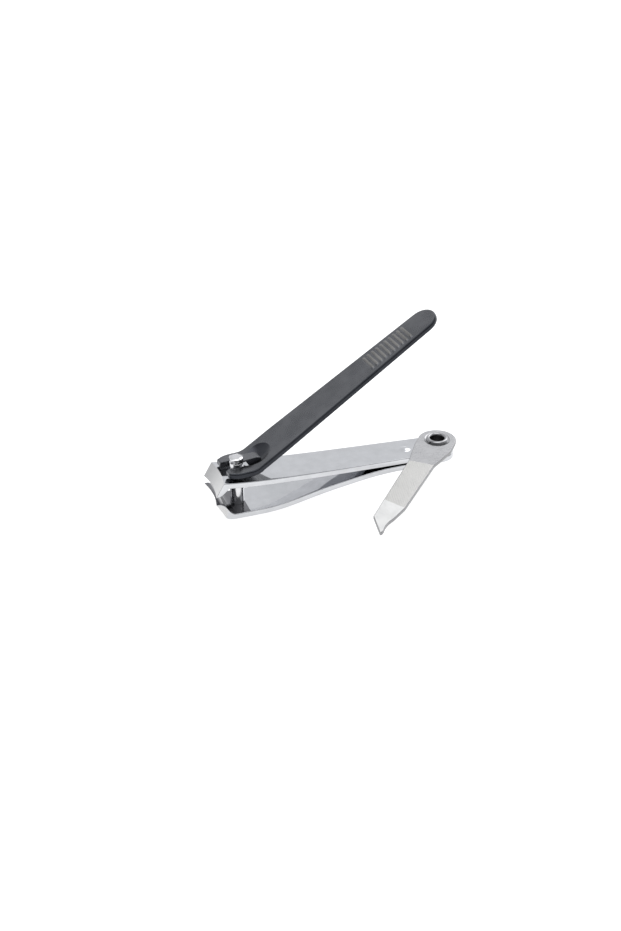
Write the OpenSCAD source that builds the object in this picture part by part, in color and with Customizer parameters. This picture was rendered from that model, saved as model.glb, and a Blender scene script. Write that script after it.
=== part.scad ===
// Folding-lever nail clipper with a swinging nail file, six steel pieces.
// Origin: centre of the key-ring eyelet, on the plane where the two arms meet.
// +X runs from the jaws to the eyelet, +Y across the arms, +Z from the lower arm up to the lever.

/* [Arms] */
// Distance from the eyelet axis to the post axis
post_distance = 49.8; // [46:0.1:54]
// Distance from the eyelet axis to the jaw corners
jaw_distance = 56.2; // [52:0.1:61]
// Sheet thickness of both arms
arm_t = 1.36; // [1.2:0.02:1.6]
// Arm width at the jaws
jaw_width = 10.4; // [9:0.1:12]
// Arm width at the eyelet
rear_width = 8.2; // [7.6:0.1:9.4]
// Opening between the two cutting edges
jaw_gap = 1.95; // [1.6:0.05:2.2]
// Height of the upper jaw's ridge above the meeting plane
upper_ridge = 4.3; // [4.2:0.05:4.4]
// Depth of the lower arm's belly below the meeting plane
belly = 5.6; // [5.2:0.05:6]
// Sagitta of the hollow ground into the jaw faces
hollow = 0.6; // [0.3:0.05:0.9]
// Radius of the detent pip pressed up from the upper arm
pip_r = 1.5; // [1:0.1:1.8]
// Height of the detent pip
pip_h = 0.3; // [0.1:0.05:0.3]

/* [Post] */
// Radius of the post
post_r = 1.6; // [1.4:0.05:1.8]
// Radius of the turned neck under the post's head
neck_r = 0.9; // [0.7:0.05:1]
// Height of the post's top face
post_top = 7.75; // [7.6:0.05:8]
// Radial running clearance round the post in the lower arm
post_clear = 0.05; // [0.03:0.01:0.1]

/* [Lever] */
// Angle of the raised lever above the meeting plane
lever_raise = 31.2; // [28:0.1:34]
// Angle of the raised lever round the post
lever_swivel = 6; // [0:1:12]
// Length of the lever's handle behind its bend
lever_length = 54.5; // [48:0.5:58]
// Sheet thickness of the lever
lever_t = 1.3; // [1.1:0.05:1.4]
// Lever width at its fork
fork_width = 9.8; // [9:0.1:10.4]
// Lever width at its thumb end
thumb_width = 7.3; // [7:0.1:9]
// Number of grip ribs
rib_count = 10; // [6:1:12]
// Distance between grip ribs
rib_pitch = 1.25; // [1.1:0.05:1.4]

/* [File] */
// Angle of the file away from its place along the arms
file_angle = 49.3; // [0:0.1:90]
// Distance from the eyelet axis to the file's point
file_length = 45.2; // [42:0.1:45.4]
// Width of the file's blade
file_width = 6; // [5.6:0.1:6.6]
// Sheet thickness of the file
file_t = 0.9; // [0.7:0.05:1]

/* [Eyelet] */
// Radius of the hole through the eyelet
hole_r = 1.65; // [1.4:0.05:1.8]
// Outer radius of the eyelet's barrel
barrel_r = 2.1; // [2:0.05:2.3]
// Outer radius of the eyelet's rolled rims
rim_r = 3.05; // [2.8:0.05:3.3]

/* [Hidden] */
$fn = 96;
px = -post_distance;
jx = -jaw_distance;
gap2 = jaw_gap / 2;
rest_gap = 0.04;
jaw_slope = 60;
hollow_r = jaw_width * jaw_width / (8 * hollow);
arm_top = arm_t + rest_gap;
hub_h = 0.35;
file_z = arm_top + 0.12 + hub_h;
file_bend = 2.35;
neck_lo = 6.45;
neck_hi = 7.25;
pivot_x = px + 1.35;
pivot_z = (neck_lo + neck_hi) / 2;
fork_top = 5.9;
fork_low = 4.5;
bend_x = px + 3.2;
dish_r = 7;
dish_depth = 0.75;
steps = 20;

// Point, direction and offset point of a cubic curve through four control points.
function at(c, t) = pow(1 - t, 3) * c[0] + 3 * t * pow(1 - t, 2) * c[1]
  + 3 * t * t * (1 - t) * c[2] + pow(t, 3) * c[3];
function along(c, t) = pow(1 - t, 2) * (c[1] - c[0]) + 2 * t * (1 - t) * (c[2] - c[1])
  + t * t * (c[3] - c[2]);
function beside(c, t, d) = at(c, t) + d * [along(c, t)[1], -along(c, t)[0]] / norm(along(c, t));
function curve(c, d = 0, first = 0) = [for (i = [first:steps]) beside(c, i / steps, d)];
function back(list) = [for (i = [len(list) - 1:-1:0]) list[i]];

// Side outline, drawn in X and Z, made into a slab across Y.
module slab(points, width) {
  translate([0, width / 2, 0]) rotate([90, 0, 0]) linear_extrude(width) polygon(points);
}

// Outline of an arm from above: full width at the jaws, narrower and round at the eyelet.
module arm_plan() {
  translate([0, 0, -10]) union() {
    linear_extrude(20) polygon([[jx - 2, jaw_width / 2], [px + 2, jaw_width / 2], [0, rear_width / 2],
      [0, -rear_width / 2], [px + 2, -jaw_width / 2], [jx - 2, -jaw_width / 2]]);
    cylinder(d = rear_width, h = 20);
  }
}

// Round body that grinds the hollow into a jaw's sloping face, on the side given by up.
module jaw_hollow(up) {
  translate([jx + hollow / sin(jaw_slope), 0, up * gap2])
    rotate([0, up * (90 - jaw_slope), 0])
      translate([-hollow_r, 0, -12]) cylinder(r = hollow_r, h = 24, $fn = 180);
}

// Inner face of the upper arm, from the eyelet to the root of the jaw.
upper_run = [[0, rest_gap], [-20, 0.8], [px + 9, 1.25], [px - 3.2, 2.75]];
upper_jaw = [[px - 3.2, 2.75], [px - 4.1, 2], [px - 4.7, 1.25], [jx + 0.95, gap2]];
lower_rear = [[px + 38, 0], [px + 32, 0], [px + 28, -0.75], [px + 23, -1.45]];
lower_run = [[px + 23, -1.45], [px + 15, -2.57], [px + 11, -belly + arm_t], [px + 5, -belly + arm_t]];
lower_jaw = [[px - 1.6, -belly + arm_t], [px - 3.6, -belly + arm_t], [px - 3.6, -1.6], [jx + 0.95, -gap2]];
lower_nose = [[px - 1.6, -belly], [px - 3.4, -belly], [px - 4.3, -belly + 0.5], [px - 4.75, -4.1]];

module upper_arm() {
  color("gainsboro") difference() {
    intersection() {
      union() {
        slab(concat([[rear_width, rest_gap]], curve(upper_run), curve(upper_jaw, 0, 1),
          [[jx - 0.4, gap2], [px - 4.5, upper_ridge]],
          back(curve(upper_run, arm_t)), [[rear_width, arm_top]]), 12);
        translate([-8.3, 0, 1.66]) pip();
      }
      arm_plan();
    }
    jaw_hollow(1);
    translate([px, 0, 0]) cylinder(r = post_r + 0.3, h = 6);
    translate([0, 0, -1]) cylinder(r = barrel_r + 0.02, h = 4);
  }
}

// Low round pip that clicks under the file when it is folded away.
module pip() {
  dome_r = (pip_r * pip_r + pip_h * pip_h) / (2 * pip_h);
  intersection() {
    translate([0, 0, pip_h - dome_r]) sphere(r = dome_r, $fn = 120);
    translate([0, 0, -0.5]) cylinder(r = pip_r, h = 2);
  }
}

module lower_arm() {
  color("gainsboro") difference() {
    intersection() {
      slab(concat([[rear_width, 0]], curve(lower_rear), curve(lower_run, 0, 1), curve(lower_jaw),
        [[jx - 0.4, -gap2]], back(curve(lower_nose)),
        back(curve(lower_run, -arm_t, 1)), back(curve(lower_rear, -arm_t)), [[rear_width, -arm_t]]), 12);
      arm_plan();
    }
    jaw_hollow(-1);
    translate([px, 0, -belly - 1]) cylinder(r = post_r + post_clear, h = 4);
    translate([px, 0, -belly - 0.02]) cylinder(r1 = 2.6, r2 = post_r, h = 1);
    translate([0, 0, -3]) cylinder(r = barrel_r + 0.1, h = 4);
  }
}

// Post: flush conical foot in the lower arm, plain shank, turned neck and flat head with a broken edge.
module post() {
  color("silver") translate([px, 0, 0]) rotate_extrude() polygon([
    [0, -belly + 0.05], [2.46, -belly + 0.05], [2.46, -belly + 0.12], [post_r, -belly + 0.98],
    [post_r, neck_lo - 0.12], [post_r - 0.12, neck_lo], [neck_r, neck_lo], [neck_r, neck_hi],
    [post_r - 0.08, neck_hi], [post_r, neck_hi + 0.08], [post_r, post_top - 0.12],
    [post_r - 0.12, post_top], [0, post_top]]);
}

module lever_plan() {
  hw = fork_width / 2;
  tw = thumb_width / 2;
  translate([0, 0, -6]) union() {
    linear_extrude(16) polygon([[-3.2, hw], [8, hw], [lever_length - tw, tw],
      [lever_length - tw, -tw], [8, -hw], [-3.2, -hw]]);
    translate([lever_length - tw, 0, 0]) cylinder(r = tw, h = 16);
    translate([-3.2, 0, 0]) cylinder(r = hw, h = 16);
  }
}

// Sloping handle with its grip ribs, drawn along +X from the bend.
module handle() {
  intersection() {
    union() {
      translate([0, -6, -lever_t]) cube([lever_length, 12, lever_t]);
      for (i = [0:rib_count - 1])
        translate([lever_length - 8 - i * rib_pitch, 0, -0.2])
          rotate([90, 0, 0]) cylinder(r = 0.4, h = 6, center = true, $fn = 32);
    }
    lever_plan();
  }
}

// Lip that reaches into the post's neck from behind and turns there.
module lip() {
  translate([pivot_x, 0, pivot_z]) rotate([90, 0, 0]) cylinder(r = 0.28, h = 2.6, center = true, $fn = 48);
  slab([[pivot_x, pivot_z - 0.27], [pivot_x + 0.06, pivot_z + 0.27], [px + 4.4, pivot_z + 0.3],
    [px + 5.4, pivot_z + 0.1], [px + 6, fork_top - 0.4], [px + 3.35, fork_top - 1.1],
    [pivot_x + 0.95, pivot_z - 0.6], [pivot_x + 0.5, pivot_z - 0.2]], 2.6);
}

module lever() {
  color("dimgray") translate([px, 0, 0]) rotate([0, 0, lever_swivel]) translate([-px, 0, 0])
    union() {
      difference() {
        union() {
          difference() {
            translate([bend_x, 0, 0]) intersection() {
              slab([[-6.4, fork_low + 0.5], [-6.4, fork_top - 0.35], [-6, fork_top], [0, fork_top],
                [3, fork_top + 3 * tan(lever_raise)], [4.2, fork_top + 0.6], [2.6, fork_low + 0.4],
                [0.8, fork_low], [-6, fork_low]], 12);
              lever_plan();
            }
            // slot round the post, open at the fork's front
            translate([px, 0, 0]) cylinder(r = post_r + 0.25, h = 12);
            translate([px - 6, -post_r - 0.25, 0]) cube([7.4, 2 * post_r + 0.5, 12]);
            slab([[px, 3], [px, 8], [px + 1.9, 8], [px + 1.9, 6.3], [px + 3.45, fork_low],
              [px + 3.45, 3]], 3.7);
            // underside hollowed between the two cheeks
            translate([px - 7, -fork_width / 2 + 1.1, 3]) cube([9.8, fork_width - 2.2, fork_top - 1.1 - 3]);
          }
          translate([bend_x, 0, fork_top]) rotate([0, -lever_raise, 0]) handle();
        }
        // round dish pressed into the top, just behind the bend
        translate([bend_x, 0, fork_top]) rotate([0, -lever_raise, 0])
          translate([2.6, 0, dish_r - dish_depth]) sphere(r = dish_r);
      }
      lip();
    }
}

// Rolled lip of the eyelet: half circle of points about [x, z], from the bore outward, on the side given by up.
function lip_round(x, z, r, up) = [for (i = [0:12]) [x - r * cos(15 * i), z + up * r * sin(15 * i)]];

module eyelet() {
  lo = -arm_t - 0.12;
  hi = file_z + file_t + 0.05;
  r = 0.5;
  color("gainsboro") rotate_extrude() polygon(concat(
    lip_round(hole_r + r, hi + 0.05, r, 1), [[rim_r - 0.15, hi + 0.05], [rim_r, hi], [barrel_r, hi],
    [barrel_r, lo], [rim_r, lo], [rim_r - 0.15, lo - 0.05]],
    back(lip_round(hole_r + r, lo - 0.05, r, -1))));
}

// File: flat round base on a low hub, and a blade that lifts slightly so that it clears the arm.
module nail_file() {
  half = file_width / 2;
  color("lightgray") rotate([0, 0, file_angle]) difference() {
    union() {
      translate([0, 0, file_z - hub_h]) cylinder(r = 2.9, h = hub_h + 0.1);
      translate([0, 0, file_z]) linear_extrude(file_t) intersection() {
        union() {
          circle(r = 4.5);
          polygon([[0, 4.5], [-4, 4.3], [-8, half + 0.7], [-8, -half - 0.9], [-4, -4.7], [0, -4.5]]);
        }
        translate([-6, -5]) square([12, 10]);
      }
      translate([-5, 0, file_z]) rotate([0, file_bend, 0]) translate([5, 0, 0]) linear_extrude(file_t)
        difference() {
          polygon([[-5, 4.15], [-8, half + 0.7], [-12, half], [-file_length + 6, half - 0.7],
            [-file_length, -1.3], [-file_length + 0.5, -1.7], [-file_length + 5.4, -1.95],
            [-file_length + 12, -half], [-12, -half], [-8, -half - 0.9], [-5, -4.5]]);
          // scooped edge of the nail cleaner
          translate([-file_length + 3.2, -11.55]) circle(r = 10, $fn = 160);
        }
    }
    translate([0, 0, file_z - 1]) cylinder(r = barrel_r + 0.05, h = 4);
  }
}

lower_arm();
upper_arm();
post();
lever();
eyelet();
nail_file();
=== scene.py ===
"""Looks of a folding-lever nail clipper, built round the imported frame. Shapes are worked out in
millimetres in the part's own frame, and turned into metres when a mesh is made."""
from math import cos, degrees, hypot, pi, radians, sin, sqrt, tan

import bmesh
import bpy
from mathutils import Matrix, Vector


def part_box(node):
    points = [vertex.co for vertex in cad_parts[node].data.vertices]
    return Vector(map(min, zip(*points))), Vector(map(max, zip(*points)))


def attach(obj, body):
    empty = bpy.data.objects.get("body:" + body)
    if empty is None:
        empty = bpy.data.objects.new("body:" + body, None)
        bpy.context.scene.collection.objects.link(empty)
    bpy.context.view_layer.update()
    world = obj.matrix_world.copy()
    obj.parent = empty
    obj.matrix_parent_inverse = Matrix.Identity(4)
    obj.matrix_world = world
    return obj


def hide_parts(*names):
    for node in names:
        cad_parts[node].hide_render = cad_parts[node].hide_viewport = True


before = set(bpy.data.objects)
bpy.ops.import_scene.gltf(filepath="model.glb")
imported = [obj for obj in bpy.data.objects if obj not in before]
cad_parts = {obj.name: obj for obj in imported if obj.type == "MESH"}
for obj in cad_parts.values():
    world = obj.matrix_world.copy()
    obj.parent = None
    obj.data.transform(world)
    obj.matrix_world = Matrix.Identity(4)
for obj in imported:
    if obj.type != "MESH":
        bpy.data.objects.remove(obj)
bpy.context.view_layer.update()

MM = 0.001


def box_mm(node):
    """Lowest and highest corner of a CAD node, in millimetres."""
    low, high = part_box(node)
    return low / MM, high / MM


# ---- Sizes read from the frame ----
UPPER_LOW, UPPER_HIGH = box_mm("upper_arm")
POST_LOW, POST_HIGH = box_mm("post")
PX = (POST_LOW.x + POST_HIGH.x) / 2      # the post's axis
JX = UPPER_LOW.x + 0.01                  # middle of the cutting edges
JAW_HALF = (UPPER_HIGH.y - UPPER_LOW.y) / 2
REAR_R = UPPER_HIGH.x                    # round end of the arms, about the eyelet
RIDGE = UPPER_HIGH.z                     # top of the upper jaw
BELLY = -box_mm("lower_arm")[0].z        # depth of the lower arm's flat below the origin
POST_TOP = POST_HIGH.z
RIM_R = box_mm("eyelet")[1].x

# ---- Arms and jaws ----
SHEET = 1.36              # thickness of both arms
REST_GAP = 0.04           # between the arms at the eyelet
GAP = 0.975               # half the opening between the cutting edges
SLOPE = radians(60)       # ground faces of the jaws
HOLLOW = 0.6              # sagitta of the ground faces
EDGE_R = 0.17             # rounding of the arms' edges
EDGE_STEPS = 4            # points that round one edge of a plate
HEEL = PX - 3.2           # where the arms end and their jaws begin
JAW_SHADE_X = PX + 2.6       # the inside of the jaws in front of this gets darker plating: painted shade of the cavity between the arms
PIP_X, PIP_R, PIP_H = -8.3, 1.6, 0.28

# ---- Post and eyelet ----
POST_R, NECK_R = 1.6, 0.9
NECK_LOW, NECK_HIGH = 6.45, 7.25
NECK_MIDDLE = (NECK_LOW + NECK_HIGH) / 2
POST_EDGE = 0.16          # rounding of the post's edges
SHADED_SHANK_TOP = 3.4           # below it the post is painted darker: painted shade between the arms
FOOT_R, FOOT_H = 2.46, 0.93
HOLE_R, BARREL_R = 1.65, 2.1
ROLL_R = 0.5              # radius of the eyelet's rolled lips

# ---- Lever: s runs from its bend towards the thumb end ----
FORK_TOP, FORK_T = 5.9, 1.4
BEND_X = PX + 3.2
BEND_RUN = 1.2            # length of the rounded bend on each side of its corner
POST_S = PX - BEND_X      # the post's place along the lever
FORK_END = 6.4            # from the bend to the front of the fork
RAISE, SWIVEL = radians(31.2), radians(6)
HANDLE_L, HANDLE_T = 54.5, 1.3
FORK_HALF, THUMB_R = 4.9, 3.65
TAPER_S = 8               # the handle is parallel up to here
LEVER_EDGE = 0.36         # rounding of the lever's edges
SLOT_HALF = POST_R + 0.25
PIVOT_X = PX + 1.35       # rounded nose of the lip, in the post's neck
LIP_HALF, LIP_R, LIP_EDGE = 1.3, 0.28, 0.15
DISH_S, DISH_R, DISH_DEPTH = 2.6, 7, 0.75
RIBS, RIB_PITCH, RIB_FRONT, RIB_HALF, RIB_H = 10, 1.25, 8.0, 3.0, 0.22
RIB_R = 0.42              # half of a rib's footprint
RIB_WORN_SHEEN = 0.6            # share of the height above which a rib's crest is paler: wear and painted highlight

# ---- File: s runs from the eyelet to the point, y from the near edge to the far one ----
FILE_ANGLE, FILE_BEND = radians(49.3), radians(2.35)
FILE_L, FILE_HALF, FILE_T, FILE_R = 45.2, 3.0, 0.9, 4.5
FILE_Z = SHEET + REST_GAP + 0.47
FILE_EDGE_R = 0.14
KNEE_S = 5                # the blade rises from here
HUB_R, HUB_H = 2.9, 0.35
SCOOP_R, SCOOP_S, SCOOP_Y = 10, FILE_L - 3.2, -11.55
CUT_FROM, CUT_TO, CUT_PITCH, CUT_DEPTH = 12.2, 32.3, 0.52, 0.05
CUT_SKEW = 0.33           # how much sooner the teeth end towards the far edge
TOOTH_TURNS = (62, -48)   # directions of the two sets of teeth
TOOTH_WIDTH = 2.6         # teeth narrow as this grows


# ---- Curves and small helpers ----
def bezier(c, t):
    """Point of the cubic curve with the control points c."""
    k = [(1 - t) ** 3, 3 * t * (1 - t) ** 2, 3 * t * t * (1 - t), t ** 3]
    return Vector((sum(k[i] * c[i][0] for i in range(4)), sum(k[i] * c[i][1] for i in range(4))))


def beside(c, t, d):
    """Point at distance d to the side of the curve."""
    e = 1e-4
    a, b = bezier(c, max(0, t - e)), bezier(c, min(1, t + e))
    run = (b - a).normalized()
    return bezier(c, t) + d * Vector((run.y, -run.x))


def mix(a, b, t):
    return a + (b - a) * t


def smooth(a, b, x):
    """0 below a, 1 above b, and a smooth step between."""
    t = min(1, max(0, (x - a) / (b - a)))
    return t * t * (3 - 2 * t)


def steps(a, b, n):
    return [mix(a, b, i / n) for i in range(n + 1)]


# ---- Mesh building ----
def across(low, high, r, inner):
    """Positions across a plate from low to high: close together in the rounded edges."""
    r = min(r, 0.3 * (high - low))
    edge = [r * (1 - cos(radians(90 * k / EDGE_STEPS))) for k in range(EDGE_STEPS)]
    middle = steps(low + r, high - r, inner)
    return [low + d for d in edge] + middle + [high - d for d in reversed(edge)]


def drop(d, r):
    """How far a rounded edge of radius r falls away at distance d inside the outline."""
    d = min(max(d, 0), r)
    return r - sqrt(max(0, r * r - (r - d) ** 2))


def plate_ring(top, bottom, low, high, r, inner, inside):
    """One station of a plate: its upper points and then its lower points, back again.
    top(y) and bottom(y) give (x, z), and inside(y) the distance to the plate's outline."""
    up, down = [], []
    for y in across(low, high, r, inner):
        a, b = top(y), bottom(y)
        length = max((a - b).length, 1e-6)
        fall = drop(inside(y), min(r, 0.45 * length)) / length
        t, u = mix(a, b, fall), mix(b, a, fall)
        up.append(Vector((t.x, y, t.y)))
        down.append(Vector((u.x, y, u.y)))
    return up + down[::-1]


def on_top(j, count):
    """Whether face j of a station lies on the plate's upper side, off its rounded edges."""
    return EDGE_STEPS <= j < count // 2 - EDGE_STEPS - 1


def on_bottom(j, count):
    return count // 2 + EDGE_STEPS <= j < count - EDGE_STEPS - 1


def loft(name, rings, mark=None):
    """Closed solid through the stations. mark(i, j, count) gives a face's material slot."""
    count = len(rings[0])
    half = count // 2
    verts = [p * MM for ring in rings for p in ring]
    faces, slots = [], []
    for i in range(len(rings) - 1):
        for j in range(count):
            k = (j + 1) % count
            faces.append((i * count + j, i * count + k, (i + 1) * count + k, (i + 1) * count + j))
            slots.append(mark(i, j, count) if mark else 0)
    for i in (0, len(rings) - 1):
        for j in range(half - 1):
            a = i * count
            faces.append((a + j, a + j + 1, a + count - 2 - j, a + count - 1 - j))
            slots.append(mark(i, j, count) if mark else 0)
    return from_faces(name, verts, faces, slots)


def lathe(name, outline, centre=(0, 0), turns=96, slots=None):
    """Solid of revolution of a closed outline of (radius, z) points round a vertical axis.
    Points on the axis become one vertex."""
    verts, faces, marks, index = [], [], [], []
    for r, z in outline:
        if r < 1e-6:
            index.append([len(verts)] * turns)
            verts.append(Vector((centre[0], centre[1], z)) * MM)
        else:
            index.append(list(range(len(verts), len(verts) + turns)))
            verts += [Vector((centre[0] + r * cos(2 * pi * k / turns),
                              centre[1] + r * sin(2 * pi * k / turns), z)) * MM for k in range(turns)]
    n = len(outline)
    for i in range(n):
        a, b = index[i], index[(i + 1) % n]
        for k in range(turns):
            face = []
            for v in (a[k], a[(k + 1) % turns], b[(k + 1) % turns], b[k]):
                if v not in face:
                    face.append(v)
            if len(face) > 2:
                faces.append(face)
                marks.append(slots(outline[i], outline[(i + 1) % n]) if slots else 0)
    return from_faces(name, verts, faces, marks)


def prism(name, outline, half_width):
    """Cutter or lip: an outline in X and Z, made solid across Y."""
    n = len(outline)
    verts = [Vector((x, s * half_width, z)) * MM for s in (-1, 1) for x, z in outline]
    faces = [list(range(n)), list(range(2 * n - 1, n - 1, -1))]
    faces += [(i, (i + 1) % n, n + (i + 1) % n, n + i) for i in range(n)]
    return from_faces(name, verts, faces)


def from_faces(name, verts, faces, slots=None):
    mesh = bpy.data.meshes.new(name)
    mesh.from_pydata(verts, [], faces)
    if slots:
        for _ in range(max(slots) + 1):
            mesh.materials.append(None)
        mesh.polygons.foreach_set("material_index", slots)
    b = bmesh.new()
    b.from_mesh(mesh)
    bmesh.ops.recalc_face_normals(b, faces=b.faces)
    b.to_mesh(mesh)
    b.free()
    piece = bpy.data.objects.new(name, mesh)
    bpy.context.scene.collection.objects.link(piece)
    return piece


def rod(name, centre, r, low, high, turns=96):
    return lathe(name, [(0, low), (r, low), (r, high), (0, high)], centre, turns)


def combine(piece, other, operation="DIFFERENCE"):
    """Cuts other out of piece, or joins it on, and removes other."""
    m = piece.modifiers.new("combine", "BOOLEAN")
    m.object, m.operation, m.solver = other, operation, "EXACT"
    done = bpy.data.meshes.new_from_object(piece.evaluated_get(bpy.context.evaluated_depsgraph_get()))
    piece.modifiers.clear()
    piece.data = done
    bpy.data.objects.remove(other)


def turn(piece, angle, x=0):
    """Turns a mesh about the vertical axis through x."""
    at = Matrix.Translation((x * MM, 0, 0))
    piece.data.transform(at @ Matrix.Rotation(angle, 4, "Z") @ at.inverted())


def finish_piece(piece, body, nodes, materials, sharp=28):
    """Smooth shading with crisp edges, materials, and the ties to the frame."""
    marks = [p.material_index for p in piece.data.polygons]
    piece.data.materials.clear()
    for m in materials:
        piece.data.materials.append(m)
    piece.data.polygons.foreach_set("material_index", marks)
    piece.data.shade_smooth()
    piece.data.set_sharp_from_angle(angle=radians(sharp))
    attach(piece, body)
    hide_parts(*nodes)
    return piece


# ---- Arms ----
def arm_half(x):
    """Half width of an arm: parallel at the jaws, tapering to a round end at the eyelet."""
    if x > 0:
        return sqrt(max(0.02, REAR_R ** 2 - x * x))
    return mix(REAR_R, JAW_HALF, min(1, x / (PX + 2)))


def arm_inside(x, y):
    return REAR_R - hypot(x, y) if x > 0 else arm_half(x) - abs(y)


def edge_point(y, up):
    """Point of the cutting edge, which the ground hollow bows inwards."""
    big = JAW_HALF ** 2 / (2 * HOLLOW)
    sag = big - sqrt(big * big - y * y)
    return Vector((JX + (HOLLOW - sag) / sin(SLOPE), up * GAP))


# Curves along the middle of the arms: the side that faces the other arm, then the nose outside.
UPPER_RUN = [(0, REST_GAP), (-20, 0.8), (PX + 9, 1.25), (HEEL, 2.75)]
UPPER_JAW = [(HEEL, 2.75), (PX - 4.1, 2), (PX - 4.7, 1.25), (JX + 0.95, GAP)]
LOWER_REAR = [(PX + 38, 0), (PX + 32, 0), (PX + 28, -0.75), (PX + 23, -1.45)]
LOWER_RUN = [(PX + 23, -1.45), (PX + 15, -2.57), (PX + 11, -BELLY + SHEET), (PX + 5, -BELLY + SHEET)]
LOWER_JAW = [(PX - 1.6, -BELLY + SHEET), (PX - 3.6, -BELLY + SHEET),
             (PX - 3.6, -1.6), (JX + 0.95, -GAP)]
LOWER_NOSE = [(PX - 1.6, -BELLY), (PX - 3.4, -BELLY), (PX - 4.3, -BELLY + 0.5), (PX - 4.75, -4.1)]
ROUND_END = [REAR_R * sin(radians(a)) for a in (88, 84, 78, 70, 60, 48, 36, 24, 12)]


def pip(x, y):
    """Low round pip on the upper arm's top, with a soft foot."""
    r = hypot(x - PIP_X, y) / PIP_R
    return PIP_H * (1 - smooth(0.1, 1, r))


def upper_arm():
    """Arm with the pip and the upper jaw, from the eyelet's end to the cutting edge."""
    rings = []

    def add(top, bottom, x):
        w = arm_half(x)
        rings.append(plate_ring(top, bottom, -w, w, EDGE_R, 44, lambda y: arm_inside(x, y)))

    for x in ROUND_END:
        add(lambda y: Vector((x, SHEET + REST_GAP)), lambda y: Vector((x, REST_GAP)), x)
    for t in steps(0, 0.25, 56) + steps(0.25, 1, 54)[1:]:
        a, b = beside(UPPER_RUN, t, SHEET), bezier(UPPER_RUN, t)
        add(lambda y: Vector((a.x, a.y + pip(a.x, y))), lambda y: b, b.x)
    shoulder = beside(UPPER_RUN, 1, SHEET)
    rise = (RIDGE - shoulder.y) / (PX - 4.5 - shoulder.x)

    def ridge_run(y):
        """Length of the ground face from the edge to the ridge."""
        e = edge_point(y, 1)
        level = shoulder.y + rise * (e.x - shoulder.x)
        return (level - e.y) / (sin(SLOPE) - rise * cos(SLOPE))

    def face(y, k):
        return edge_point(y, 1) + ridge_run(y) * k * Vector((cos(SLOPE), sin(SLOPE)))

    for i in range(1, 5):
        b = bezier(UPPER_JAW, 0.09 * i)
        add(lambda y: mix(shoulder, face(y, 1), i / 4), lambda y: b, HEEL)
    first_ground = len(rings) - 1
    for i in range(1, 11):
        b = bezier(UPPER_JAW, min(1, 0.36 + 0.08 * i))
        end = max(0, (i - 8) / 2)
        add(lambda y: face(y, mix(1, 0.012, i / 10)), lambda y: mix(b, edge_point(y, 1), end), HEEL)

    def mark(i, j, n):
        """Ground face, inside of the jaw painted darker as shade, or plating."""
        if i >= first_ground and j < n // 2 - 1:
            return 1
        return 2 if on_bottom(j, n) and rings[i][j].x < JAW_SHADE_X else 0

    arm = loft("upper_arm_plate", rings, mark)
    combine(arm, rod("cut", (PX, 0), POST_R + 0.3, 0, 7))
    combine(arm, rod("cut", (0, 0), BARREL_R + 0.02, -1, 3))
    return arm


def lower_arm():
    """Arm that drops away behind the jaws, from the eyelet's end round the nose to the edge."""
    rings = []

    def add(top, bottom, x):
        w = arm_half(x)
        rings.append(plate_ring(top, bottom, -w, w, EDGE_R, 30, lambda y: arm_inside(x, y)))

    for x in ROUND_END:
        add(lambda y: Vector((x, 0)), lambda y: Vector((x, -SHEET)), x)
    for x in steps(0, PX + 38, 8)[:-1]:
        add(lambda y: Vector((x, 0)), lambda y: Vector((x, -SHEET)), x)
    run = [(LOWER_REAR, t) for t in steps(0, 1, 20)] + [(LOWER_RUN, t) for t in steps(0, 1, 30)[1:]]
    for path, t in run:
        a, b = bezier(path, t), beside(path, t, -SHEET)
        add(lambda y: a, lambda y: b, a.x)
    for x in steps(PX + 5, PX - 1.6, 6)[1:]:
        add(lambda y: Vector((x, SHEET - BELLY)), lambda y: Vector((x, -BELLY)), x)

    def nose_end(y):
        """Where the nose's outer curve meets the ground face."""
        e, low, high = edge_point(y, -1), 0.4, 1.15
        for _ in range(26):
            t = (low + high) / 2
            p = bezier(LOWER_NOSE, t)
            if (p.x - e.x) * sin(SLOPE) + (p.y - e.y) * cos(SLOPE) > 0:
                low = t
            else:
                high = t
        return low

    ends = {}

    def nose(y, k):
        key = round(y, 6)
        ends.setdefault(key, nose_end(y))
        return bezier(LOWER_NOSE, ends[key] * k)

    for i in range(1, 13):
        b = bezier(LOWER_JAW, 0.045 * i)
        add(lambda y: b, lambda y: nose(y, i / 12), HEEL)
    first_ground = len(rings) - 1
    for i in range(1, 11):
        a = bezier(LOWER_JAW, min(1, 0.54 + 0.0575 * i))
        end = max(0, (i - 8) / 2)
        add(lambda y: mix(a, edge_point(y, -1), end),
            lambda y: mix(nose(y, 1), edge_point(y, -1), 0.988 * i / 10), HEEL)

    def mark(i, j, n):
        """Ground face, inside of the jaw painted darker as shade, or plating."""
        if i >= first_ground and j >= n // 2:
            return 1
        return 2 if on_top(j, n) and rings[i][j].x < JAW_SHADE_X else 0

    arm = loft("lower_arm_plate", rings, mark)
    combine(arm, rod("cut", (PX, 0), POST_R + 0.05, -BELLY - 1, -3))
    low, high = -BELLY - 0.02, -BELLY + 0.98
    combine(arm, lathe("cut", [(0, low), (2.62, low), (POST_R, high), (0, high)], (PX, 0)))
    combine(arm, rod("cut", (0, 0), BARREL_R + 0.1, -3, 1))
    return arm


# ---- Post and eyelet ----
def rounded(points, r, n=5):
    """The outline with its listed corners rounded: each point is (x, z) or (x, z, radius share)."""
    out = []
    for i, p in enumerate(points):
        share = p[2] if len(p) > 2 else 0
        here = Vector(p[:2])
        if not share:
            out.append((here.x, here.y))
            continue
        a = (Vector(points[i - 1][:2]) - here)
        b = (Vector(points[(i + 1) % len(points)][:2]) - here)
        size = min(r * share, a.length * 0.45, b.length * 0.45)
        a, b = here + a.normalized() * size, here + b.normalized() * size
        for t in steps(0, 1, n):
            q = mix(mix(a, here, t), mix(here, b, t), t)
            out.append((q.x, q.y))
    return out


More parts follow.
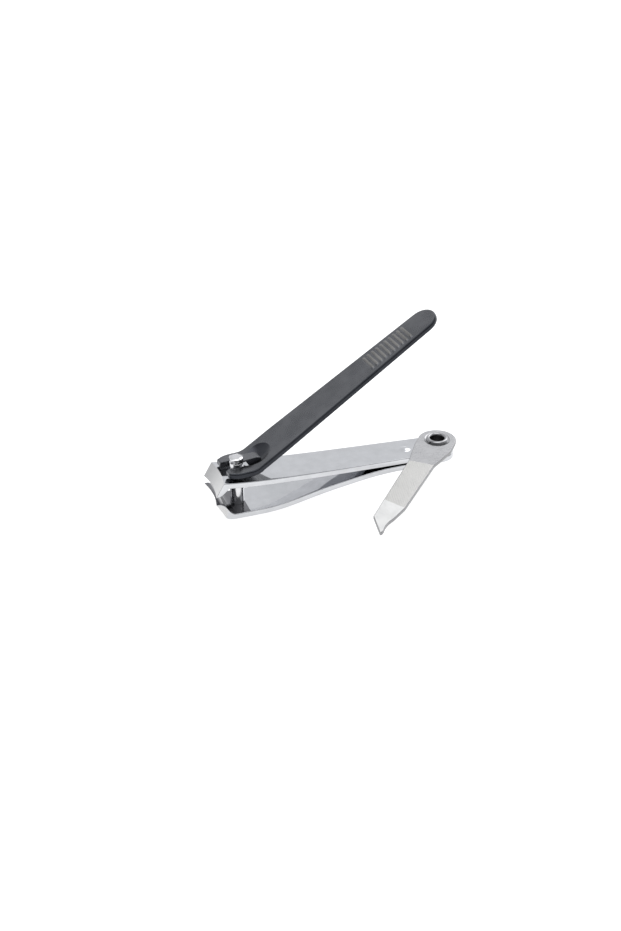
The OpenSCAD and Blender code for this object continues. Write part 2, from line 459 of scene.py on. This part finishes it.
def post():
    """Countersunk foot, shank painted darker as shade, neck for the lever's lip, and a slightly crowned
    head.
    """
    low, rim = -BELLY + 0.05, POST_TOP - 0.05
    crown = [(POST_R * 0.8 * cos(radians(a)), mix(rim, POST_TOP, sin(radians(a)))) for a in (30, 60)]
    foot = [(0, low), (FOOT_R, low), (FOOT_R, low + 0.07), (POST_R, low + FOOT_H), (POST_R, SHADED_SHANK_TOP)]
    neck = [(POST_R, NECK_LOW - 0.02, 1), (NECK_R, NECK_LOW, 1), (NECK_R, NECK_HIGH, 1)]
    head = [(POST_R, NECK_HIGH, 0.6), (POST_R, rim, 1.3)]
    outline = rounded(foot + neck + head, POST_EDGE)
    # faces below the shank's top get slot 1, the darker steel painted in as shade
    return lathe("post_turned", outline + crown + [(0, POST_TOP)], (PX, 0), 128,
                 lambda a, b: 1 if max(a[1], b[1]) <= SHADED_SHANK_TOP else 0)


def eyelet():
    """Tube with a lip rolled outward at each end."""
    low, high = -SHEET - 0.12, FILE_Z + FILE_T + 0.05
    lip_top = [(HOLE_R + ROLL_R - ROLL_R * cos(radians(a)), high + 0.05 + ROLL_R * sin(radians(a)))
               for a in range(0, 181, 12)]
    lip_low = [(x, low + high - z) for x, z in reversed(lip_top)]
    side_top = [(RIM_R - 0.05, high + 0.12), (RIM_R, high + 0.04), (RIM_R - 0.03, high), (BARREL_R, high)]
    side_low = [(x, low + high - z) for x, z in reversed(side_top)]

    def mark(a, b):
        """Bore painted dark as shade, or plated rims and barrel."""
        return 1 if abs(a[0] - HOLE_R) < 0.02 and abs(b[0] - HOLE_R) < 0.02 else 0

    return lathe("eyelet_tube", lip_top + side_top + side_low + lip_low, (0, 0), 128, mark)


# ---- Lever ----
def rib(s, y):
    """Height of the grip ribs at distance s behind the bend."""
    first = HANDLE_L - RIB_FRONT - (RIBS - 1) * RIB_PITCH
    k = min(RIBS - 1, max(0, round((s - first) / RIB_PITCH)))
    off = abs(s - first - k * RIB_PITCH)
    fade = 1 - smooth(RIB_HALF - 1, RIB_HALF + 0.1, abs(y))
    return RIB_H * sqrt(max(0, 1 - (off / RIB_R) ** 2)) * fade


def dish():
    """Cutter for the round dish behind the bend: the low cap of a sphere, whose faces carry the darker
    plating painted into the dish as shade.
    """
    away = DISH_R - DISH_DEPTH
    x = BEND_X + DISH_S * cos(RAISE) - away * sin(RAISE)
    z = FORK_TOP + DISH_S * sin(RAISE) + away * cos(RAISE)
    cap = [(DISH_R * sin(radians(a)), z - DISH_R * cos(radians(a))) for a in steps(0, 66, 44)]
    return lathe("cut", cap + [(0, cap[-1][1])], (x, 0), 120, lambda a, b: 1)


def lever_half(s):
    """Half width at distance s behind the bend; the fork in front of it ends round the post."""
    if s < POST_S:
        return sqrt(FORK_HALF ** 2 - (s - POST_S) ** 2)
    if s > HANDLE_L - THUMB_R:
        return sqrt(max(0.01, THUMB_R ** 2 - (s - HANDLE_L + THUMB_R) ** 2))
    if s > TAPER_S:
        return mix(FORK_HALF, THUMB_R, (s - TAPER_S) / (HANDLE_L - THUMB_R - TAPER_S))
    return FORK_HALF


def lever_inside(s, y):
    """Distance from a point of the lever to its outline."""
    if s < POST_S:
        return min(FORK_HALF - hypot(s - POST_S, y), s + FORK_END)
    if s > HANDLE_L - THUMB_R:
        return THUMB_R - hypot(s - HANDLE_L + THUMB_R, y)
    return min(lever_half(s) - abs(y), s + FORK_END)


def lip():
    """Thin tongue that reaches into the post's neck from behind, with a rounded nose."""
    nose = [(PIVOT_X - LIP_R * sin(radians(a)), LIP_R * cos(radians(a))) for a in (90, 70, 50, 30, 12)]
    # stations behind the nose: x, then the top and the underside, from the middle of the neck
    stations = [(x, z, -z) for x, z in nose]
    stations += [(PIVOT_X + 0.3, LIP_R, -0.24), (PIVOT_X + 0.5, LIP_R, -0.2), (PIVOT_X + 0.95, 0.29, -0.6),
                 (PX + 3.3, 0.3, -1.9), (PX + 4.4, 0.3, -1.5), (PX + 5.4, 0.1, -1), (PX + 5.7, -0.6, -0.8)]
    rings = []
    for x, high, low in stations:
        if high - low < 0.02:
            high, low = high + 0.02, low - 0.02
        top, bottom = Vector((x, NECK_MIDDLE + high)), Vector((x, NECK_MIDDLE + low))
        rings.append(plate_ring(lambda y: top, lambda y: bottom, -LIP_HALF, LIP_HALF, LIP_EDGE, 10,
                                lambda y: LIP_HALF - abs(y)))
    return loft("lip", rings)


def lever():
    """Flat fork, bend and straight handle, with the slot, the dish, the ribs and the lip."""
    rings, spots = [], []

    def add(s, top, down, thick):
        """top is the unraised upper point and down the direction through the sheet."""
        w = lever_half(s)
        spots.append(s)
        rings.append(plate_ring(lambda y: top - down * rib(s, y), lambda y: top + down * thick,
                                -w, w, LEVER_EDGE, 40, lambda y: lever_inside(s, y)))

    rounding = [d - FORK_END for d in (0, 0.02, 0.08, 0.18, 0.3, 0.44)]
    for s in rounding + steps(0.7 - FORK_END, -BEND_RUN, 14):
        add(s, Vector((BEND_X + s, FORK_TOP)), Vector((0, -1)), FORK_T)
    radius = BEND_RUN / tan(RAISE / 2)
    for a in steps(0, RAISE, 8)[1:-1]:
        add(mix(-BEND_RUN, BEND_RUN, a / RAISE),
            Vector((BEND_X - BEND_RUN + radius * sin(a), FORK_TOP + radius * (1 - cos(a)))),
            Vector((sin(a), -cos(a))), FORK_T)
    rib_zone, thumb = HANDLE_L - RIB_FRONT - RIBS * RIB_PITCH, HANDLE_L - THUMB_R
    marks = steps(BEND_RUN, 10, 22) + steps(10.5, rib_zone, 30)[:-1]
    marks += steps(rib_zone, HANDLE_L - RIB_FRONT + 0.8, 106) + steps(HANDLE_L - 7, thumb, 5)
    marks += [thumb + THUMB_R * sin(radians(a)) for a in (10, 20, 30, 40, 50, 58, 66, 72, 77, 81, 85, 88)]
    down = Vector((sin(RAISE), -cos(RAISE)))
    for s in marks:
        add(s, Vector((BEND_X + s * cos(RAISE), FORK_TOP + s * sin(RAISE))), down, HANDLE_T)

    def mark(i, j, n):
        """Plated top; rounded edges and underside painted near black as shade; crests of the ribs paler,
        wear and painted highlight.
        """
        if not on_top(j, n):
            return 3
        # rib crests get the paler plating: wear and painted highlight
        pale_crest = spots[i] > rib_zone and rib(spots[i], rings[i][j].y) > RIB_H * RIB_WORN_SHEEN
        return 2 if pale_crest else 0

    body = loft("lever_stamping", rings, mark)
    combine(body, dish())
    # slot round the post, open in front, with a relief under the lip
    front = [(PX - 6, 2), (PX + 0.4, 2), (PX + 0.4, 12), (PX - 6, 12)]
    relief = [(PX, 3), (PX, 8), (PX + 1.9, 8), (PX + 1.9, 6.3), (PX + 3.45, 4.5), (PX + 3.45, 3)]
    combine(body, rod("cut", (PX, 0), SLOT_HALF, 2, 12))
    combine(body, prism("cut", front, SLOT_HALF))
    combine(body, prism("cut", relief, SLOT_HALF))
    combine(body, lip(), "UNION")
    turn(body, SWIVEL, PX)
    return body


# ---- File ----
def follow(points, s):
    """Value at s of the line through (s, value) points."""
    for (a, u), (b, v) in zip(points, points[1:]):
        if s <= b:
            return mix(u, v, (s - a) / (b - a))
    return points[-1][1]


# Outline of the file as (s, y) points; the near edge is scooped out before the point.
FAR_EDGE = [(0, FILE_R), (4, 4.3), (8, FILE_HALF + 0.75), (12, FILE_HALF + 0.1),
            (FILE_L - 6, FILE_HALF - 0.7), (FILE_L, -1.25)]
NEAR_EDGE = [(0, -FILE_R), (4, -4.65), (8, -FILE_HALF - 0.9), (12, -FILE_HALF - 0.1),
             (FILE_L - 12, -FILE_HALF), (FILE_L - 5.4, -1.95), (FILE_L - 0.5, -1.68), (FILE_L, -1.3)]


def file_edges(s):
    """Both edges of the file at distance s from the eyelet's axis, towards the point."""
    if s < 0:
        w = sqrt(max(0.02, FILE_R ** 2 - s * s))
        return -w, w
    low, high = follow(NEAR_EDGE, s), follow(FAR_EDGE, s)
    from_middle = s - SCOOP_S
    if abs(from_middle) < 6:
        low = max(low, SCOOP_Y + sqrt(SCOOP_R ** 2 - from_middle ** 2))
    return low, max(high, low + 0.05)


def cut_end(y):
    """Where the teeth end, sooner towards the far edge."""
    return CUT_TO - y * CUT_SKEW


def crosscut(s, y):
    """Depth of the crossed file teeth."""
    end = cut_end(y)
    zone = smooth(CUT_FROM, CUT_FROM + 0.3, s) * (1 - smooth(end - 0.3, end, s))
    if zone == 0:
        return 0
    depth = 0
    for a in TOOTH_TURNS:
        u = (s * cos(radians(a)) + y * sin(radians(a))) / CUT_PITCH
        depth = max(depth, 1 - TOOTH_WIDTH * abs(u - round(u)))
    return CUT_DEPTH * zone * max(0, depth)


def nail_file():
    """Blade that rises a little from its round base, with a raised seat under the base."""
    rings = []
    marks = [-FILE_R * sin(radians(a)) for a in (88, 84, 78, 70, 60, 48, 36, 24, 12)]
    marks += steps(0, 12, 30) + steps(12.1, 33.5, 214) + steps(33.8, FILE_L - 6, 14)
    marks += steps(FILE_L - 5.8, FILE_L - 0.7, 20) + steps(FILE_L - 0.6, FILE_L - 0.02, 6)
    for s in marks:
        low, high = file_edges(s)
        past = max(0, s - KNEE_S)
        run, lift = s - past * (1 - cos(FILE_BEND)), past * sin(FILE_BEND)

        def top(y):
            return Vector((-run, FILE_Z + FILE_T + lift - crosscut(s, y)))

        def bottom(y):
            return Vector((-run, FILE_Z + lift))

        def inside(y):
            return FILE_R - hypot(s, y) if s < 0 else min(high - y, y - low, FILE_L + 0.2 - s)

        rings.append(plate_ring(top, bottom, low, high, FILE_EDGE_R, 62, inside))

    def mark(i, j, n):
        """Smooth base and underside, toothed middle, plain tip, and edges painted darker as shade."""
        if on_bottom(j, n):
            return 0
        if not on_top(j, n):
            return 3
        if marks[i] < CUT_FROM:
            return 0
        return 1 if marks[i] < cut_end(rings[i][j].y) else 2

    blade = loft("file_blade", rings, mark)
    combine(blade, rod("hub", (0, 0), HUB_R, FILE_Z - HUB_H, FILE_Z + 0.1), "UNION")
    combine(blade, rod("cut", (0, 0), BARREL_R + 0.05, FILE_Z - 1, FILE_Z + 3))
    turn(blade, FILE_ANGLE)
    return blade


# ---- Materials ----
def material(name, colour, metallic, roughness):
    """A Principled material, with its node tree's helpers."""
    m = bpy.data.materials.new(name)
    m.use_nodes = True
    shader = m.node_tree.nodes["Principled BSDF"]
    shader.inputs["Base Color"].default_value = (*colour, 1)
    shader.inputs["Metallic"].default_value = metallic
    shader.inputs["Roughness"].default_value = roughness
    return m, m.node_tree, shader


def place(tree, scale=(1, 1, 1), turn_deg=(0, 0, 0), at=(0, 0, 0)):
    """Object coordinates, in metres, turned and stretched."""
    coord, mapping = tree.nodes.new("ShaderNodeTexCoord"), tree.nodes.new("ShaderNodeMapping")
    mapping.inputs["Scale"].default_value = scale
    mapping.inputs["Rotation"].default_value = [radians(a) for a in turn_deg]
    mapping.inputs["Location"].default_value = at
    tree.links.new(coord.outputs["Object"], mapping.inputs["Vector"])
    return mapping.outputs["Vector"]


def noise(tree, vector, scale, detail=3.0, rough=0.5):
    n = tree.nodes.new("ShaderNodeTexNoise")
    n.inputs["Scale"].default_value, n.inputs["Detail"].default_value = scale, detail
    n.inputs["Roughness"].default_value = rough
    tree.links.new(vector, n.inputs["Vector"])
    return n.outputs["Fac"]


def remap(tree, value, low, high, to_low, to_high):
    n = tree.nodes.new("ShaderNodeMapRange")
    for name, v in (("From Min", low), ("From Max", high), ("To Min", to_low), ("To Max", to_high)):
        n.inputs[name].default_value = v
    tree.links.new(value, n.inputs["Value"])
    return n.outputs["Result"]


def arithmetic(tree, operation, a, b):
    n = tree.nodes.new("ShaderNodeMath")
    n.operation = operation
    for socket, v in zip(n.inputs, (a, b)):
        if isinstance(v, (int, float)):
            socket.default_value = v
        else:
            tree.links.new(v, socket)
    return n.outputs["Value"]


def tint(tree, value, stops):
    """Colour that follows a value between (position, colour) stops."""
    n = tree.nodes.new("ShaderNodeValToRGB")
    ramp = n.color_ramp
    while len(ramp.elements) < len(stops):
        ramp.elements.new(0.5)
    for e, (at, colour) in zip(ramp.elements, stops):
        e.position, e.color = at, (*colour, 1)
    tree.links.new(value, n.inputs["Fac"])
    return n.outputs["Color"]


def bump(tree, shader, height, depth_mm, strength=1.0, under=None):
    """Relief of the given depth, on top of the relief under it."""
    n = tree.nodes.new("ShaderNodeBump")
    n.inputs["Strength"].default_value = strength
    n.inputs["Distance"].default_value = depth_mm * MM
    tree.links.new(height, n.inputs["Height"])
    if under:
        tree.links.new(under, n.inputs["Normal"])
    tree.links.new(n.outputs["Normal"], shader.inputs["Normal"])
    return n.outputs["Normal"]


def chrome(name, base, low_rough, high_rough):
    """Polished plating: faint polishing lines, smears and a slow waviness of the sheet."""
    m, tree, shader = material(name, base, 1, low_rough)
    smear = noise(tree, place(tree), 420, 4)
    lines = noise(tree, place(tree, (900, 14000, 14000)), 1, 2)
    wear = arithmetic(tree, "ADD", arithmetic(tree, "MULTIPLY", smear, 0.65),
                      arithmetic(tree, "MULTIPLY", lines, 0.35))
    tree.links.new(remap(tree, wear, 0.35, 0.7, low_rough, high_rough), shader.inputs["Roughness"])
    dim = [c * 0.93 for c in base]
    tree.links.new(tint(tree, smear, [(0.35, dim), (0.65, base)]), shader.inputs["Base Color"])
    wave = bump(tree, shader, noise(tree, place(tree), 160, 1), 0.012, 0.6)
    bump(tree, shader, lines, 0.0006, 0.5, wave)
    return m


def ground(name, base):
    """Wheel-ground face of a jaw: fine parallel lines up the slope."""
    m, tree, shader = material(name, base, 1, 0.4)
    lines = noise(tree, place(tree, (300, 16000, 300)), 1, 4, 0.7)
    tree.links.new(remap(tree, lines, 0.3, 0.7, 0.3, 0.46), shader.inputs["Roughness"])
    dim = [c * 0.86 for c in base]
    tree.links.new(tint(tree, lines, [(0.3, dim), (0.62, base)]), shader.inputs["Base Color"])
    bump(tree, shader, lines, 0.004, 0.6)
    return m


def black_nickel(name, dim, base):
    """Dark plated lever: fine grain and long polishing lines."""
    m, tree, shader = material(name, base, 1, 0.3)
    turn_up = (0, -degrees(RAISE), degrees(SWIVEL))
    grain = noise(tree, place(tree), 9000, 2)
    patch = noise(tree, place(tree), 260, 4)
    lines = noise(tree, place(tree, (500, 9000, 9000), turn_up), 1, 3)
    mixed = arithmetic(tree, "ADD", arithmetic(tree, "MULTIPLY", patch, 0.5),
                       arithmetic(tree, "MULTIPLY", lines, 0.5))
    tree.links.new(remap(tree, mixed, 0.35, 0.68, 0.22, 0.38), shader.inputs["Roughness"])
    tree.links.new(tint(tree, patch, [(0.32, dim), (0.68, base)]), shader.inputs["Base Color"])
    under = bump(tree, shader, lines, 0.0015, 0.5)
    bump(tree, shader, grain, 0.0012, 0.5, under)
    return m


def turned(name, base, axis_x):
    """Machined steel with fine rings round its axis."""
    m, tree, shader = material(name, base, 1, 0.14)
    coord = place(tree, at=(-axis_x * MM, 0, 0))
    split = tree.nodes.new("ShaderNodeSeparateXYZ")
    tree.links.new(coord, split.inputs[0])
    radius = arithmetic(tree, "SQRT", arithmetic(
        tree, "ADD", arithmetic(tree, "MULTIPLY", split.outputs[0], split.outputs[0]),
        arithmetic(tree, "MULTIPLY", split.outputs[1], split.outputs[1])), 0)
    joined = tree.nodes.new("ShaderNodeCombineXYZ")
    tree.links.new(radius, joined.inputs[0])
    tree.links.new(split.outputs[2], joined.inputs[2])
    rings = noise(tree, joined.outputs[0], 9000, 3)
    smear = noise(tree, place(tree), 700, 3)
    wear = arithmetic(tree, "ADD", rings, smear)
    tree.links.new(remap(tree, wear, 0.7, 1.3, 0.08, 0.2), shader.inputs["Roughness"])
    dim = [c * 0.9 for c in base]
    tree.links.new(tint(tree, smear, [(0.3, dim), (0.7, base)]), shader.inputs["Base Color"])
    bump(tree, shader, rings, 0.0025, 0.5)
    return m


def satin(name, base, line_scale, line_turn, rough, depth):
    """Satin steel with short brushing lines along one direction."""
    m, tree, shader = material(name, base, 1, rough[0])
    lines = noise(tree, place(tree, line_scale, (0, 0, line_turn)), 1, 4, 0.65)
    cloud = noise(tree, place(tree), 380, 3)
    mixed = arithmetic(tree, "ADD", arithmetic(tree, "MULTIPLY", lines, 0.6),
                       arithmetic(tree, "MULTIPLY", cloud, 0.4))
    tree.links.new(remap(tree, mixed, 0.34, 0.66, *rough), shader.inputs["Roughness"])
    dim = [c * 0.88 for c in base]
    tree.links.new(tint(tree, mixed, [(0.36, dim), (0.62, base)]), shader.inputs["Base Color"])
    bump(tree, shader, lines, depth, 0.6)
    return m


CHROME = chrome("chrome_plate", (0.6, 0.607, 0.625), 0.035, 0.1)
GROUND = ground("ground_jaw", (0.62, 0.62, 0.62))
# darker chrome for the inside of the jaws: painted shade between the arms
JAW_SHADE_CHROME = chrome("jaw_inside_painted_shade", (0.2, 0.2, 0.21), 0.12, 0.26)
NICKEL = black_nickel("black_nickel_plate", (0.128, 0.131, 0.14), (0.165, 0.168, 0.177))
# near-black plating for the dish: painted shade in the hollow
NICKEL_DISH_SHADE = black_nickel("black_nickel_dish_painted_shade", (0.05, 0.052, 0.06), (0.07, 0.073, 0.082))
# paler warm plating on the rib crests: wear and a painted highlight
NICKEL_WORN_SHEEN = black_nickel("black_nickel_worn_sheen", (0.2, 0.196, 0.19), (0.27, 0.265, 0.255))
# near-black plating for the lever's edges and underside: painted shade
NICKEL_EDGE_SHADE = black_nickel("black_nickel_edge_painted_shade", (0.032, 0.034, 0.04), (0.045, 0.048, 0.055))
TURNED = turned("turned_post", (0.72, 0.72, 0.73), PX)
# dark turned steel for the shank: painted shade inside the gap between the arms
SHANK_SHADE = turned("turned_shank_painted_shade", (0.22, 0.22, 0.23), PX)
RIM = chrome("eyelet_plate", (0.4, 0.4, 0.41), 0.08, 0.2)
# near-black satin for the eyelet's bore: painted shade in the hole
BORE_SHADE = satin("eyelet_bore_painted_shade", (0.1, 0.1, 0.105), (4000, 4000, 300), 0, (0.35, 0.55), 0.004)
ALONG = -degrees(FILE_ANGLE)
FILE_BASE = satin("file_base", (0.52, 0.52, 0.53), (600, 9000, 600), ALONG, (0.22, 0.36), 0.002)
FILE_CUT = satin("file_crosscut", (0.64, 0.635, 0.62), (5000, 5000, 5000), ALONG, (0.45, 0.65), 0.006)
FILE_TIP = satin("file_tip", (0.82, 0.82, 0.81), (7000, 500, 500), ALONG, (0.34, 0.52), 0.006)
# darker steel for the file's edges: painted shade
FILE_EDGE_SHADE = satin("file_edge", (0.3, 0.3, 0.305), (900, 900, 9000), ALONG, (0.3, 0.5), 0.003)

finish_piece(upper_arm(), "upper", ["upper_arm"], [CHROME, GROUND, JAW_SHADE_CHROME])
finish_piece(lower_arm(), "lower", ["lower_arm"], [CHROME, GROUND, JAW_SHADE_CHROME])
finish_piece(post(), "post", ["post"], [TURNED, SHANK_SHADE])
finish_piece(lever(), "lever", ["lever"], [NICKEL, NICKEL_DISH_SHADE, NICKEL_WORN_SHEEN, NICKEL_EDGE_SHADE], 35)
finish_piece(eyelet(), "upper", ["eyelet"], [RIM, BORE_SHADE])
finish_piece(nail_file(), "file", ["nail_file"], [FILE_BASE, FILE_CUT, FILE_TIP, FILE_EDGE_SHADE], 22)


# ---- Floor, lights and camera ----
def floor():
    """Pale paper just below the lower arm, lit through so that it stays white."""
    side = 3.0
    z = (-BELLY - 0.1) * MM
    corners = [(-side, -side, z), (side, -side, z), (side, side, z), (-side, side, z)]
    mesh = bpy.data.meshes.new("floor")
    mesh.from_pydata(corners, [], [(0, 1, 2, 3)])
    ground_plane = bpy.data.objects.new("floor", mesh)
    bpy.context.scene.collection.objects.link(ground_plane)
    m, tree, shader = material("floor_paper", (0.5, 0.5, 0.5), 0, 0.9)
    fibres = noise(tree, place(tree), 60, 3)
    tree.links.new(tint(tree, fibres, [(0.3, (0.49, 0.49, 0.49)), (0.7, (0.51, 0.51, 0.51))]),
                   shader.inputs["Base Color"])
    shader.inputs["Emission Color"].default_value = (1, 1, 1, 1)
    shader.inputs["Emission Strength"].default_value = 0.8
    mesh.materials.append(m)


def softbox(name, centre, target, side, power):
    """Square area light that faces a point."""
    light = bpy.data.lights.new(name, "AREA")
    light.shape, light.size, light.energy = "SQUARE", side, power
    lamp = bpy.data.objects.new(name, light)
    lamp.location = centre
    lamp.rotation_euler = (Vector(centre) - Vector(target)).to_track_quat("Z", "Y").to_euler()
    bpy.context.scene.collection.objects.link(lamp)


def studio():
    """Pale surroundings: bright behind and overhead, dim towards the camera's side and the left."""
    world = bpy.data.worlds.new("studio")
    bpy.context.scene.world = world
    world.use_nodes = True
    tree = world.node_tree
    background = tree.nodes["Background"]
    coord = tree.nodes.new("ShaderNodeTexCoord")
    split = tree.nodes.new("ShaderNodeSeparateXYZ")
    tree.links.new(coord.outputs["Generated"], split.inputs[0])
    side = remap(tree, split.outputs[1], -0.75, 0.35, 0.0, 1.0)
    height = remap(tree, split.outputs[2], 0.35, 1.0, 0.0, 1.0)
    left = remap(tree, split.outputs[0], -0.75, 0.3, 0.42, 1.0)
    value = arithmetic(tree, "MULTIPLY", arithmetic(tree, "MAXIMUM", side, height), left)
    shades = [(0.0, (0.12, 0.12, 0.125)), (0.5, (0.62, 0.63, 0.65)), (1.0, (0.92, 0.93, 0.95))]
    tree.links.new(tint(tree, value, shades), background.inputs["Color"])
    background.inputs["Strength"].default_value = 1.0


floor()
studio()
MIDDLE = (PX * MM / 2, 0, 0)
softbox("key", (-0.1, 0.0, 0.7), MIDDLE, 0.7, 1.7)
softbox("fill", (0.5, 0.35, 0.5), MIDDLE, 0.5, 1.3)

# The camera looks at a point beside the post, from in front and a little to the left.
AZIMUTH, ELEVATION, DISTANCE, LENS = radians(-19.3), radians(31), 0.35, 59.0
BESIDE, ABOVE = 16.9, 4.6
RIGHT = Vector((cos(AZIMUTH), sin(AZIMUTH), 0))
BACK = Vector((sin(AZIMUTH) * cos(ELEVATION), -cos(AZIMUTH) * cos(ELEVATION), sin(ELEVATION)))
UP = BACK.cross(RIGHT)
AIM = (Vector((PX, 0, 0)) + BESIDE * RIGHT + ABOVE * UP) * MM
view = bpy.data.cameras.new("view")
view.lens = LENS
view.clip_start, view.clip_end = 0.01, 20
camera = bpy.data.objects.new("view", view)
camera.location = AIM + BACK * DISTANCE
camera.rotation_euler = BACK.to_track_quat("Z", "Y").to_euler()
bpy.context.scene.collection.objects.link(camera)
bpy.context.scene.camera = camera
bpy.context.scene.view_settings.view_transform = "Standard"
